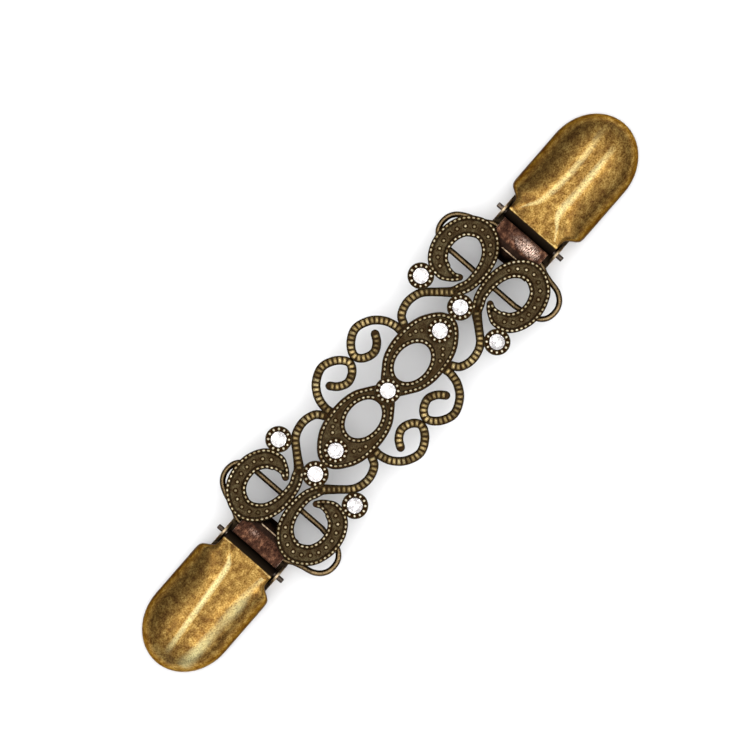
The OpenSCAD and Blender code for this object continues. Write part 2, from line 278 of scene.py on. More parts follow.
def rampOf(tree, source, places, colours):
    ramp = addNode(tree, "ShaderNodeValToRGB", {"Fac": source})
    elements = ramp.color_ramp.elements
    while len(elements) < len(places):
        elements.new(0.5)
    for element, place, colour in zip(elements, places, colours):
        element.position = place
        element.color = (*colour, 1)
    return ramp.outputs["Color"]


def mixOf(tree, factor, first, second, blend="MIX"):
    # the node's colours are its inputs 6 and 7
    colours = [(*value, 1) if isinstance(value, tuple) else value for value in (first, second)]
    values = {0: factor, 6: colours[0], 7: colours[1]}
    mix = addNode(tree, "ShaderNodeMix", values, data_type="RGBA", blend_type=blend)
    return mix.outputs[2]


def rangeOf(tree, source, fromLow, fromHigh, toLow, toHigh):
    change = addNode(tree, "ShaderNodeMapRange", {
        "Value": source,
        "From Min": fromLow,
        "From Max": fromHigh,
        "To Min": toLow,
        "To Max": toHigh,
    })
    return change.outputs["Result"]


plating = {
    # what every plated metal has, unless its own look says otherwise
    "grain": 0.3,
    "grainMix": 0.5,
    "bump": 0.01,
    "toneStops": (0.34, 0.52, 0.68),   # where its blotches are dark, middle and light
    "grainStops": (0.40, 0.60),
    "grainDark": (0.42, 0.42, 0.42),
    "grainLight": (1.25, 1.25, 1.25),
    "grainStretch": (1, 1, 1),
    "grainDetail": 6.0,
    "brightGrain": (0.35, 0.6),          # the grain that breaks up its rubbed places and painted highlights
    "brightLeast": 0.55,
    "roughGrain": (0.3, 0.7),
}


def platedMetal(name, ownLook):
    # antique plating: dark patina with blotches, rubbed bright and given painted highlights where the
    # mesh says so, and dark there with recess patina and painted shade
    look = {**plating, **ownLook}
    material, tree, shader = startMaterial(name)
    blotches = noiseAt(tree, look["blotch"])
    grains = noiseAt(tree, look["grain"], look["grainDetail"], look["grainStretch"])
    ground = rampOf(tree, blotches, look["toneStops"], look["tones"])
    grainTone = rampOf(tree, grains, look["grainStops"], (look["grainDark"], look["grainLight"]))
    colour = mixOf(tree, look["grainMix"], ground, grainTone, "MULTIPLY")
    rub = addNode(tree, "ShaderNodeAttribute", {}, attribute_name="rub").outputs["Fac"]
    shares = {
        0: rangeOf(tree, rub, 0, 1, 0, 1),
        1: rangeOf(tree, grains, *look["brightGrain"], look["brightLeast"], 1),
    }
    wornAndLit = addNode(tree, "ShaderNodeMath", shares, operation="MULTIPLY")
    colour = mixOf(tree, wornAndLit.outputs["Value"], colour, look["rubbedAndLit"])
    colour = mixOf(tree, rangeOf(tree, rub, 0, -1, 0, 1), colour, look["recessAndShade"])
    bump = addNode(tree, "ShaderNodeBump", {"Height": grains, "Distance": look["bump"] * mm})
    feed(tree, shader, {
        "Base Color": colour,
        "Metallic": 1.0,
        "Specular Tint": (*look["edgeTint"], 1),
        "Roughness": rangeOf(tree, grains, *look["roughGrain"], *look["rough"]),
        "Normal": bump.outputs["Normal"],
    })
    return material


patinaLook = {
    "tones": ((0.030, 0.018, 0.008), (0.052, 0.037, 0.018), (0.080, 0.064, 0.033)),
    "rubbedAndLit": (0.26, 0.18, 0.08),
    "recessAndShade": (0.024, 0.0105, 0.003),
    "blotch": 1.0,
    "grain": 0.25,
    "grainMix": 0.85,
    "grainDark": (0.5, 0.42, 0.36),
    "rough": (0.36, 0.55),
    "bump": 0.03,
    "edgeTint": (0.22, 0.15, 0.09),
}
recessLook = {
    **patinaLook,
    "tones": ((0.024, 0.0105, 0.003), (0.019, 0.010, 0.003), (0.028, 0.017, 0.006)),
}
dotLook = {
    **patinaLook,
    "tones": ((0.12, 0.09, 0.045), (0.40, 0.32, 0.18), (0.74, 0.64, 0.42)),
    "blotch": 2.2,
    "grainMix": 0.3,
}
goldLook = {
    "tones": ((0.42, 0.31, 0.15), (0.74, 0.62, 0.36), (0.95, 0.87, 0.62)),
    "rubbedAndLit": (0.97, 0.91, 0.72),
    "recessAndShade": (0.02, 0.014, 0.008),
    "blotch": 0.9,
    "grain": 0.25,
    "grainMix": 0.35,
    "rough": (0.26, 0.42),
    "edgeTint": (0.8, 0.65, 0.4),
}
ribLook = {
    "tones": ((0.12, 0.082, 0.034), (0.30, 0.215, 0.09), (0.56, 0.42, 0.19)),
    "rubbedAndLit": (0.8, 0.7, 0.4),
    "recessAndShade": (0.03, 0.019, 0.009),
    "blotch": 4.0,
    "grain": 0.25,
    "rough": (0.28, 0.45),
    "edgeTint": (0.5, 0.36, 0.2),
}
# its bright colour is the wire's painted highlight, its dark colour the painted shade beside it
wireLook = {
    "tones": ((0.034, 0.021, 0.011), (0.078, 0.050, 0.025), (0.15, 0.10, 0.05)),
    "rubbedAndLit": (0.40, 0.28, 0.14),
    "recessAndShade": (0.012, 0.008, 0.005),
    "blotch": 1.6,
    "rough": (0.22, 0.38),
    "edgeTint": (0.12, 0.08, 0.05),
}
# its bright colour is the painted highlight on the ears' rims, its dark colour the painted shade on the
# plate's top and the ears' inner faces
clipLook = {
    "tones": ((0.10, 0.064, 0.030), (0.22, 0.145, 0.070), (0.42, 0.30, 0.15)),
    "rubbedAndLit": (0.85, 0.66, 0.42),
    "recessAndShade": (0.010, 0.007, 0.005),
    "blotch": 1.8,
    "grainMix": 0.6,
    "rough": (0.24, 0.42),
    "edgeTint": (0.3, 0.2, 0.12),
}
# its bright colour is the strip's painted highlight, its dark colour the painted shade in and under the
# fold
copperLook = {
    "tones": ((0.022, 0.009, 0.006), (0.068, 0.030, 0.018), (0.21, 0.098, 0.055)),
    "rubbedAndLit": (0.93, 0.68, 0.55),
    "brightLeast": -0.6,
    "recessAndShade": (0.012, 0.007, 0.005),
    "blotch": 1.1,
    "grain": 0.2,
    "grainMix": 0.8,
    "grainStretch": (0.4, 1, 1),
    "rough": (0.24, 0.42),
    "bump": 0.02,
    "edgeTint": (0.3, 0.17, 0.12),
}
# pale metal for the strip's cut edge, partly a painted highlight
cutEdgeShineLook = {
    **copperLook,
    "tones": ((0.22, 0.15, 0.09), (0.46, 0.34, 0.22), (0.66, 0.52, 0.36)),
}
# its bright colour is the cover's painted highlight, partly rubbed wear, and its dark colour the painted
# shade on its slopes, rim, underside and nose
brassLook = {
    "tones": ((0.17, 0.086, 0.022), (0.31, 0.181, 0.045), (0.46, 0.300, 0.085)),
    "rubbedAndLit": (0.81, 0.735, 0.36),
    "recessAndShade": (0.010, 0.0065, 0.004),
    "blotch": 1.3,
    "grainMix": 0.84,
    "grainDark": (0.52, 0.39, 0.25),
    "grainLight": (1.4, 1.42, 1.5),
    "brightLeast": 0.38,
    "rough": (0.26, 0.44),
    "bump": 0.02,
    "edgeTint": (0.46, 0.38, 0.31),
}
pinLook = {
    "tones": ((0.05, 0.038, 0.030), (0.11, 0.085, 0.068), (0.24, 0.19, 0.15)),
    "rubbedAndLit": (0.5, 0.4, 0.32),
    "recessAndShade": (0.012, 0.009, 0.007),
    "blotch": 0.8,
    "grainMix": 0.6,
    "rough": (0.3, 0.5),
    "edgeTint": (0.3, 0.25, 0.2),
}
stoneLook = {
    "tones": ((0.95, 0.94, 0.94), (0.985, 0.975, 0.972)),
    "stops": (0.3, 0.7),
    "blotch": 1.2,
    "rough": 0.02,
    "ior": 1.52,
}
foilLook = {
    "tones": ((0.72, 0.70, 0.705), (0.97, 0.945, 0.935)),
    "stops": (0.36, 0.5),
    "blotch": 0.5,
    "rough": 0.12,
}
# grey foil: painted shade that stands for the dark reflections in a stone's facets
shadedFoilLook = {**foilLook, "tones": ((0.50, 0.48, 0.49), (0.72, 0.70, 0.705))}
floorLook = {
    "tones": ((0.8865, 0.8865, 0.891425), (0.90, 0.90, 0.905)),
    "stops": (0.3, 0.7),
    "blotch": 30,
    "rough": 0.7,
}


def plainMaterial(name, look, metallic=0.0, clear=0.0):
    # its colour wanders a little between two tones
    material, tree, shader = startMaterial(name)
    shade = rampOf(tree, noiseAt(tree, look["blotch"]), look["stops"], look["tones"])
    values = {"Base Color": shade, "Roughness": look["rough"], "Metallic": metallic}
    if clear:
        values.update({"Transmission Weight": clear, "IOR": look["ior"]})
    feed(tree, shader, values)
    return material


patina = platedMetal("antiqueBronze", patinaLook)
recessMetal = platedMetal("recessBronze", recessLook)
beadGold = platedMetal("rubbedBeads", goldLook)
dotMetal = platedMetal("raisedDots", dotLook)
ribGold = platedMetal("rubbedRibs", ribLook)
wireBronze = platedMetal("bronzeWire", wireLook)
clipBronze = platedMetal("clipBronze", clipLook)
copper = platedMetal("copperStrip", copperLook)
cutEdgeShine = platedMetal("cutEdgeWithShine", cutEdgeShineLook)
brass = platedMetal("antiqueBrass", brassLook)
pinMetal = platedMetal("pinMetal", pinLook)
glass = plainMaterial("clearStone", stoneLook, clear=1.0)
foil = plainMaterial("stoneFoil", foilLook, metallic=1.0)
shadedFoil = plainMaterial("shadedFoil", shadedFoilLook, metallic=1.0)
print("materials made")


# Casting: heights come from the frame, outlines from the same tables as the solid

stoneNames = [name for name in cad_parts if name.startswith("stone_")]
stonePlaces = {}
for name in stoneNames:
    low, high = boxOf(name)
    stonePlaces[name] = (low[0] + high[0]) / 2, (low[1] + high[1]) / 2
stoneLow, stoneHigh = boxOf("stone_centre")
castingShift = stonePlaces["stone_centre"][1]
stoneFoot = stoneLow[2]
stoneRadius = (stoneHigh[0] - stoneLow[0]) / 2

casting = {
    "thick": 1.4,
    "fieldOverFoot": 0.2,   # the field's height over the stones' backs
    "rimHeight": 0.35,
    "edgeRound": 0.12,
    "backStep": 0.015,
    "scrollHalf": 0.85,
    "beadEvery": 0.92,
    "beadClear": 0.5,        # two beads are never nearer than this
    "beadRub": (-0.3, 0.35),
    "eyeBeadInset": 0.42,
    "leafBeadInset": 0.60,
    "windowBeadInset": 0.52,
    "ribEvery": 0.93,
    "ribRub": (-0.3, 0.25),
    "scrollDarkRibs": (12, 0.2),   # how many ribs get darker towards a band's end, and how much
    "armDarkRibs": (7, 0.45),
    "fieldSteps": 14,
    "stemFrom": 22.5,        # where the arm's ribs give way to two bead rows
    "darkGap": 2.8,
    "windowCentre": 7.1,
    "window": (4.1, 3.0),
    "settingRadius": 2.55,
    "settingSteps": 40,
    "beadsOff": 0.05,        # how far beads and ribs stop short of a setting
    "ribsOff": 0.1,
    "seatRadius": 1.57,
    "seatDepth": 0.15,
    "seatInset": 0.35,
    "collarBeads": 12,
    "collarBeadRing": 1.98,
    "collarRub": 0.6,
    "lugWidth": 4.4,
    "lugWall": 0.55,
    "lugPlay": 0.05,
    "lugRise": 0.1,
    "lugSteps": 32,
}
raised = {
    # size along, across and up, squareness, how far it is sunk, and its place among the metals
    "bead": ((0.30, 0.205, 0.32), 2.4, 0.2, 1),
    "collarBead": ((0.26, 0.24, 0.3), 2.0, 0.08, 1),
    "rib": ((0.385, 0.60, 0.36), 4.0, 0.0, 2),
    "moat": ((0.53, 0.53, 0.035), 2.0, 0.01, 3),
    "dot": ((0.28, 0.28, 0.24), 2.0, 0.01, 4),
}
fieldZ = stoneFoot + casting["fieldOverFoot"]
backZ = fieldZ - casting["thick"]
rimZ = fieldZ + casting["rimHeight"]

leafRows = [
    (0.4, 2.2), (2.0, 3.4), (4.4, 4.9), (7.6, 5.65), (11.4, 5.55), (14.1, 4.9), (16.3, 3.65),
    (18.0, 2.05), (18.8, 0.3),
]
scrollRows = [
    (10.2, 5.75), (10.25, 7.0), (9.6, 9.2), (7.8, 11.3), (4.9, 12.4), (2.2, 11.25), (0.8, 9.2),
    (1.65, 7.55), (3.7, 6.75), (5.5, 7.55), (6.55, 8.9),
]
armRows = [
    (11.5, 5.9, 0.85), (12.6, 7.5, 0.85), (15.2, 8.25, 0.85), (18.1, 7.5, 0.85), (20.4, 5.15, 0.85),
    (22.2, 3.1, 1.0), (23.7, 2.2, 1.2),
]
eyeRows = [
    (23.7, 2.2, 1.2), (25.4, 1.5, 1.2), (28.2, 1.3, 1.35), (30.8, 1.7, 1.5), (33.0, 2.8, 1.7),
    (34.6, 4.8, 1.95), (34.8, 7.0, 2.05), (33.4, 9.3, 2.0), (31.4, 10.4, 1.92), (29.2, 10.75, 1.9),
    (26.9, 10.35, 1.9), (24.9, 9.0, 1.95), (24.1, 7.0, 1.75), (24.2, 5.7, 1.3), (24.58, 4.65, 0.92),
    (25.2, 3.85, 0.68),
]
leafDots = [(10.8, 3.8), (12.0, 3.4), (12.9, 2.7)]
eyeDots = {"from": 0.255, "to": 0.80, "count": 12}   # parts of the end loop's length


def backAt(level):
    # bands that cross have their backs a hair apart, so that no two faces coincide
    return backZ + level * casting["backStep"]


def flatProfile(level):
    # from the back edge over the beaded rim to the sunk field, as inset, height and rub
    edge = casting["edgeRound"]
    return [
        (edge, backAt(level), 0.0), (0.0, backZ + edge, -0.3), (0.0, rimZ - 0.26, -0.5),
        (0.05, rimZ - 0.08, -0.2), (0.11, rimZ, 0.15), (0.16, rimZ - 0.05, -0.3),
        (0.20, rimZ - 0.14, -0.7), (0.66, rimZ - 0.14, -0.8), (0.72, rimZ - 0.05, -0.3),
        (0.80, rimZ - 0.08, 0.0), (0.92, fieldZ, -0.6), (1.08, fieldZ, 0.0),
    ]


def ribbedProfile(level):
    edge = casting["edgeRound"]
    return [
        (edge, backAt(level), 0.0), (0.0, backZ + edge, -0.3), (0.0, fieldZ - 0.3, -0.4),
        (0.07, fieldZ - 0.08, -0.2), (0.18, fieldZ + 0.05, 0.0), (0.27, fieldZ + 0.08, -0.7),
        (0.6, fieldZ + 0.13, -0.8),
    ]


def roundedPath(path):
    # adds shrinking stations at both ends, so that the band ends round
    def cap(i, way):
        x, y, half = path[i]
        turn = headingAt(path, i)
        made = []
        for degrees in (25, 50, 70, 86):
            a = math.radians(degrees)
            step = way * half * math.sin(a)
            made.append((x + step * math.cos(turn), y + step * math.sin(turn), half * math.cos(a)))
        return made
    return cap(0, -1)[::-1] + list(path) + cap(len(path) - 1, 1)


def nearStone(x, y, reach):
    return any(math.dist((x, y), place) < reach for place in stonePlaces.values())


def seated(point):
    # metal inside a stone's setting stays under the stone
    x, y, z, rub = point
    seatZ = stoneFoot - casting["seatDepth"]
    if z > seatZ and nearStone(x, y, casting["settingRadius"] - casting["seatInset"]):
        return x, y, seatZ, -1.0
    return point


def addBand(shape, path, profile, quarter):
    sx, sy = quarter
    stations = roundedPath(path)
    sections = []
    for i, (x, y, half) in enumerate(stations):
        turn = headingAt(stations, i)
        row = []
        for side, steps in ((-1, profile), (1, profile[::-1])):
            for inset, z, rub in steps:
                reach = side * max(half - inset, 0.0)
                # where the band is too narrow for its field, the two rims meet
                level = max(z, rimZ - 0.1) if inset > half and z >= fieldZ else z
                spot = beside(x, y, turn, reach)
                row.append(seated((sx * spot[0], sy * spot[1] + castingShift, level, rub)))
        sections.append(row)
    addSections(shape, sections)


def leafOutline():
    # closed, from the middle round the tip and back
    startX, startY = leafRows[0]
    base = [(startX, startY * k / 6) for k in range(1, 6)]
    upper = base + smoothRows(leafRows, 8)
    return upper + [(x, -y) for x, y in reversed(upper)]


def leafInset(inset):
    # the outline runs clockwise, so its inside is on the right
    moved = offsetLine(leafOutline(), -inset, closed=True)
    half = len(moved) // 2
    upper = [(x, max(y, 0.0)) for x, y in moved[:half]]
    lower = [(x, min(y, 0.0)) for x, y in moved[half:]]
    return upper + lower


def windowInset(inset, directions):
    longHalf, shortHalf = casting["window"]
    a, b = longHalf + inset, shortHalf + inset
    return [(casting["windowCentre"] + a * math.cos(d), b * math.sin(d)) for d in directions]


def addLeaf(shape, sx):
    # one ring of metal between the leaf's edge and its oval window
    longHalf, shortHalf = casting["window"]
    directions = [
        math.atan2(y / shortHalf, (x - casting["windowCentre"]) / longHalf)
        for x, y in leafOutline()
    ]
    profile = flatProfile(0)
    outer = [(leafInset(inset), z, rub) for inset, z, rub in profile]
    inner = [(windowInset(inset, directions), z, rub) for inset, z, rub in reversed(profile)]
    sections = []
    for i in range(len(directions)):
        row = [(line[i], z, rub) for line, z, rub in outer]
        start, end = outer[-1][0][i], inner[0][0][i]
        narrow = max(0.0, 1 - math.dist(start, end) / casting["darkGap"])
        for k in range(1, casting["fieldSteps"]):
            t = k / casting["fieldSteps"]
            spot = [a + (b - a) * t for a, b in zip(start, end)]
            row.append((spot, fieldZ, -0.8 * narrow))
        row += [(line[i], z, rub) for line, z, rub in inner]
        sections.append([seated((sx * x, y + castingShift, z, rub)) for (x, y), z, rub in row])
    addSections(shape, sections, loop=True)


def addSetting(shape, x, y):
    outer = casting["settingRadius"]
    seat = casting["seatRadius"]
    profile = [
        (outer - 0.15, backAt(6), 0.0), (outer, backZ + 0.14, -0.3), (outer, rimZ - 0.22, -0.3),
        (outer - 0.05, rimZ - 0.05, 0.1), (outer - 0.15, rimZ, 0.3), (outer - 0.24, rimZ - 0.06, -0.5),
        (outer - 0.3, rimZ - 0.12, -1.0), (seat + 0.2, rimZ - 0.06, -1.0), (seat + 0.08, rimZ, -0.2),
        (seat, rimZ - 0.04, 0.1), (seat, stoneFoot - 0.1, -0.6),
    ]
    steps = casting["settingSteps"]
    rings = [[(*spot, z, rub) for spot in circleAt(x, y, r, steps)] for r, z, rub in profile]
    addSections(shape, rings)


def addRaised(shape, kind, spot, turn, rub=0.0):
    size, power, sink, finish = raised[kind]
    x, y, z = spot
    addPillow(shape, (x, y, z - sink), turn, size, power, finish, rub)


def addCollar(shape, x, y):
    # the small beads round a stone
    count = casting["collarBeads"]
    for i, spot in enumerate(circleAt(x, y, casting["collarBeadRing"], count, 0.3)):
        turn = 2 * math.pi * (i + 0.3) / count
        addRaised(shape, "collarBead", (*spot, rimZ), turn, casting["collarRub"])


def addBeadRow(shape, line, closed=False):
    keepOff = casting["settingRadius"] + casting["beadsOff"]
    for x, y, turn in evenPlaces(line, casting["beadEvery"], closed):
        crowded = any(math.dist((x, y), bead) < casting["beadClear"] for bead in shape["beads"])
        if not crowded and not nearStone(x, y, keepOff):
            addRaised(shape, "bead", (x, y, rimZ), turn, chance.uniform(*casting["beadRub"]))
            shape["beads"].append((x, y))


def addRibs(shape, path, darkRibs):
    darkCount, darkest = darkRibs
    places = evenPlaces(path, casting["ribEvery"])
    for i, (x, y, turn) in enumerate(places):
        if not nearStone(x, y, casting["settingRadius"] + casting["ribsOff"]):
            fade = max(0.0, 1 - (len(places) - 1 - i) / darkCount)
            rub = chance.uniform(*casting["ribRub"]) - darkest * fade
            addRaised(shape, "rib", (x, y, fieldZ), turn, rub)


def placed(line, sx, sy):
    return [(sx * point[0], sy * point[1] + castingShift) for point in line]


def addDots(shape, eye, sx, sy):
    # a curved row on the end loop and a few on the leaf, each in a dark ring
    first, last = (round(eyeDots[key] * len(eye)) for key in ("from", "to"))
    stretch = placed(eye[first:last], sx, sy)
    length = sum(math.dist(a, b) for a, b in zip(stretch, stretch[1:]))
    dots = evenPlaces(stretch, length / eyeDots["count"])
    dots += [(x, y, 0.0) for x, y in placed(leafDots, sx, sy)]
    for x, y, turn in dots:
        for kind in ("moat", "dot"):
            addRaised(shape, kind, (x, y, fieldZ), turn)


def addLug(shape, sx):
    # plain block with a round foot that the ring's far bar turns in
    low, high = boxOf("ring_right")
    wire = (high[2] - low[2]) / 2
    barX, barZ = low[0] + wire, (low[2] + high[2]) / 2
    bore = wire + casting["lugPlay"]
    block = wire + casting["lugWall"]
    topZ = backZ + casting["lugRise"]
    steps = casting["lugSteps"]
    hole = circleAt(barX, barZ, bore, steps)
    outside = []
    for c, s in circleAt(0, 0, 1, steps):
        stretch = 1.0 if s <= 0 else 1 / max(abs(c), abs(s))
        z = barZ + block * s * stretch
        outside.append((barX + block * c * stretch, topZ if z > barZ + block * 0.95 else z))
    half = casting["lugWidth"] / 2
    sections = []
    for line, y in ((hole, -half), (outside, -half), (outside, half), (hole, half)):
        sections.append([(sx * x, y + castingShift, z) for x, z in line])
    addSections(shape, sections, loop=True)


def makeCasting():
    shape = blankShape()
    scroll = [(x, y, casting["scrollHalf"]) for x, y in smoothRows(scrollRows, 6)]
    arm = smoothRows(armRows, 6)
    ribbedArm = [point for point in arm if point[0] < casting["stemFrom"]]
    eye = arm[len(ribbedArm):-1] + smoothRows(eyeRows, 6)
    windowTurns = [2 * math.pi * i / 72 for i in range(72)]
    for sx in (-1, 1):
        addLeaf(shape, sx)
        addLug(shape, sx)
        addBeadRow(shape, placed(leafInset(casting["leafBeadInset"]), sx, 1), closed=True)
        oval = windowInset(casting["windowBeadInset"], windowTurns)
        addBeadRow(shape, placed(oval, sx, 1), closed=True)
        for sy in (-1, 1):
            addBand(shape, scroll, ribbedProfile(1), (sx, sy))
            addBand(shape, ribbedArm, ribbedProfile(2), (sx, sy))
            addBand(shape, eye, flatProfile(3 if sy > 0 else 4), (sx, sy))
            addRibs(shape, placed(scroll, sx, sy), casting["scrollDarkRibs"])
            addRibs(shape, placed(ribbedArm, sx, sy), casting["armDarkRibs"])
            for side in (-1, 1):
                rim = sideLine(eye, side, casting["eyeBeadInset"])
                addBeadRow(shape, placed(rim, sx, sy))
            addDots(shape, eye, sx, sy)
    for x, y in stonePlaces.values():
        addSetting(shape, x, y)
        addCollar(shape, x, y)
    metals = (patina, beadGold, ribGold, recessMetal, dotMetal)
    piece = makePiece("filigreeCasting", shape, "connector", "antique_bronze", metals)
    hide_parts("filigree")
    print("casting made:", len(shape["faces"]), "faces")


# Stones keep their solids. A faceted foil lies under each one's crown

foilShape = {
    "radius": 0.985,         # as a share of the stone's
    "rise": 0.16,
    "lift": 0.03,
    "waist": (0.5, 0.06),    # where its two rows of facets meet: share of its radius, and height
    "point": 0.05,
    "thick": (0.01, 0.03),   # at its point and at its rim
    "facets": 12,
    "smooth": 4,
    "shadedFacetShare": 0.05,       # how many of a stone's facets are painted grey as a painted dark reflection, and the stones with more
    "moreShadedStones": {
        "stone_lower_right": 0.75,
        "stone_lower_left": 0.6,
        "stone_tip_right": 0.3,
        "stone_inner_left": 0.3,
    },
}


def makeFoils():
    shape = blankShape()
    count = foilShape["facets"]
    rim = foilShape["radius"] * stoneRadius
    waist, waistRise = foilShape["waist"]
    point = foilShape["point"]
    pointThick, rimThick = foilShape["thick"]
    base = stoneFoot + foilShape["lift"]
    rimTop = base + foilShape["rise"]
    profile = (
        (rim, rimTop), (rim * waist, base + waistRise), (point, base), (point, base - pointThick),
        (rim, rimTop - rimThick),
    )
    for name, (x, y) in stonePlaces.items():
        rings = [[(*spot, z) for spot in circleAt(x, y, r, count, 0.5)] for r, z in profile]
        first = len(shape["finishes"])
        addSections(shape, rings, loop=True)
        share = foilShape["moreShadedStones"].get(name, foilShape["shadedFacetShare"])
        for i in range(first, first + 2 * count):
            shape["finishes"][i] = int(chance.random() < share)
    foils = (foil, shadedFoil)
    makePiece("stoneFoils", shape, "connector", "clear_stone", foils, foilShape["smooth"])
    for name in stoneNames:
        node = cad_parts[name]
        node.data.materials.clear()
        node.data.materials.append(glass)
    print("stones dressed:", len(stoneNames))


# Wire rings

ringShape = {
    "sides": 20,
    "litSide": 78,           # degrees round the wire from its outer side, where 90 is its top
    "litEdge": 0.82,         # where its painted shade begins, as the cosine of the angle from there
    "shadeGain": 2.5,
    "shadeMost": 0.85,
    "shadeSpan": (-0.7, -0.2),   # on the underside, where the painted shade comes back, as such a cosine
    "glint": (0.55, 12),     # how bright its painted highlight is, and how narrow
    "bulge": (0.75, 0.15),   # how far the lower side reaches on, along and across
    "bulgeSpan": (7.5, 11.5),
    "rows": [
        (28.0, 0.0), (28.0, 4.0), (28.0, 8.0), (28.0, 10.65), (28.4, 12.15), (29.5, 13.25), (31.0, 13.65),
        (32.55, 13.45), (33.85, 12.6), (34.85, 11.05), (35.6, 9.2), (36.5, 7.3), (37.23, 5.95),
        (37.3, 4.4), (37.3, 2.2), (37.3, 0.0),
    ],
}


def lowerSide(x, y):
    # the photo's rings lie a little further out on their lower side
    share = shareAlong(y, *ringShape["bulgeSpan"])
    along, across = ringShape["bulge"]
    return x + along * share, -y - across * share


def wirePaintedLight(angle):
    # painted light: a painted highlight along the lit side, with painted shade on both sides of it
    glint, narrow = ringShape["glint"]
    lit = math.cos(angle - math.radians(ringShape["litSide"]))
    shade = ringShape["shadeGain"] * max(0.0, ringShape["litEdge"] - lit)
    shade = min(ringShape["shadeMost"], shade) * shareAlong(lit, *ringShape["shadeSpan"])
    return glint * max(0.0, lit) ** narrow - shade


def ringOfWire():
    low, high = boxOf("ring_right")
    radius = (high[2] - low[2]) / 2
    middle = (low[2] + high[2]) / 2
    half = smoothRows(ringShape["rows"], 5)
    path = half + [lowerSide(x, y) for x, y in reversed(half[1:-1])]
    sections = []
    for i, (x, y) in enumerate(path):
        turn = headingAt(path, i, closed=True)
        row = []
        for k in range(ringShape["sides"]):
            a = 2 * math.pi * k / ringShape["sides"]
            spot = beside(x, y, turn, radius * math.cos(a))
            row.append((*spot, middle + radius * math.sin(a), wirePaintedLight(a)))
        sections.append(row)
    shape = blankShape()
    addSections(shape, sections, loop=True)
    return shape


# Clip pieces are drawn for the right clip and mirrored for the left one

leverLow, leverHigh = boxOf("lever_right")
plateLow, plateHigh = boxOf("back_plate_right")
stripLow, stripHigh = boxOf("jaw_strip_right")
pinLow, pinHigh = boxOf("hinge_pin_right")
leverHalf, plateHalf, stripHalf = (
    (high[1] - low[1]) / 2
    for low, high in ((leverLow, leverHigh), (plateLow, plateHigh), (stripLow, stripHigh))
)
clipShift = (leverLow[1] + leverHigh[1]) / 2
pinX, pinZ = (pinLow[0] + pinHigh[0]) / 2, (pinLow[2] + pinHigh[2]) / 2
pinRadius = (pinHigh[0] - pinLow[0]) / 2
stripSheet = 0.5


def acrossSheet(shape, outline, halfWidth, cornerRound, wearAndLightAt):
    # pushes a closed side view across the clip, with softened edges at both ends
    flat = halfWidth - cornerRound
    soft = 0.3 * cornerRound
    places = [(-halfWidth, cornerRound), (-halfWidth + soft, soft)]
    places += [(flat * (k / 8 - 1), 0.0) for k in range(17)]
    places += [(halfWidth - soft, soft), (halfWidth, cornerRound)]
    sections = []
    for y, inset in places:
        line = offsetLine(outline, -inset, closed=True) if inset else outline
        sections.append([(x, y + clipShift, z, wearAndLightAt(i, x, y, z)) for i, (x, z) in enumerate(line)])
    addSections(shape, sections)


def sheetOutline(line, thick):
    # closed side view, clockwise, of a bent sheet whose middle follows the line
    return offsetLine(line, thick / 2) + offsetLine(line, -thick / 2)[::-1]


plate = {
    "thick": 0.6,
    "from": 36.0,
    "endRound": 6.0,
    "endSteps": 12,
    # up from its lower face: height, inset and wear and painted light; its top face is dark with painted
    # shade, where it lies in shadow under the strip and ears
    "edge": ((0.0, 0.1, 0.0), (0.08, 0.0, 0.2), (0.52, 0.0, 0.0), (0.6, 0.1, -0.9)),
    "earThick": 0.55,
    "earFrom": 38.2,
    "earTo": 43.2,
    "earRadius": 1.25,
    "earSteps": 36,
    "earWaist": 0.25,        # how far under the pin its round top ends, as a share of its radius
    "earFlare": 0.6,         # and where its foot begins
    "earNarrow": 0.97,
    "earFoot": 0.3,
    "earFlat": 0.8,
    "pinPlay": 0.03,
}


def plateOutline():
    half, r = plateHalf, plate["endRound"]
    steps = plate["endSteps"]
    start, end = plate["from"], plateHigh[0]
    outline = [(start + 0.4, -half), (end - r, -half)]
    outline += arcAt(end - r, r - half, r, r, -90, 0, steps)[1:]
    outline += arcAt(end - r, half - r, r, r, 0, 90, steps)
    outline += [(start + 0.4, half), (start, half - 0.4), (start, -half + 0.4)]
    return outline


def earOutline():
    # from the plate up round the pin, with as many points as the pin's hole
    steps = plate["earSteps"]
    r = plate["earRadius"]
    waist, foot = plate["earWaist"], plate["earFoot"]
    outside = []
    for c, s in circleAt(0, 0, 1, steps):
        way, footX = (1, plate["earTo"]) if c > 0 else (-1, plate["earFrom"])
        down = shareAlong(-s, waist, plate["earFlare"])
        if s >= -waist:
            outside.append((pinX + r * c, pinZ + r * s))
        elif down < 1:
            x = pinX + way * plate["earNarrow"] * r * (1 - down) + (footX - pinX) * down
            outside.append((x, (pinZ - waist * r) * (1 - down) + foot * down))
        else:
            outside.append((pinX + (footX - pinX) * min(1.0, abs(c) / plate["earFlat"]), foot))
    return outside, circleAt(pinX, pinZ, pinRadius + plate["pinPlay"], steps)


def plateShape():
    outside, hole = earOutline()
    thick = plate["earThick"]
    # over an ear's outer face, from the hole round to its inner face: line, depth, inset and painted
    # light, bright along its rim as a painted highlight and dark round the hole and on its inner face as
    # painted shade
    earFaces = (
        (hole, 0.0, 0.0, -0.3), (outside, 0.0, 0.1, -0.1), (outside, 0.1, 0.0, 0.7),
        (outside, thick - 0.1, 0.0, 0.5), (outside, thick, 0.1, -0.6), (hole, thick, 0.0, -0.9),
    )
    shape = blankShape()
    layers = []
    for z, inset, rub in plate["edge"]:
        line = offsetLine(plateOutline(), inset, closed=True)
        layers.append([(x, y + clipShift, plateLow[2] + z, rub) for x, y in line])
    addSections(shape, layers)
    for way in (-1, 1):
        sections = []
        for line, depth, inset, rub in earFaces:
            ring = offsetLine(line, inset, closed=True) if inset else line
            sections.append([(x, way * (plateHalf - depth) + clipShift, z, rub) for x, z in ring])
        addSections(shape, sections, loop=True)
    return shape


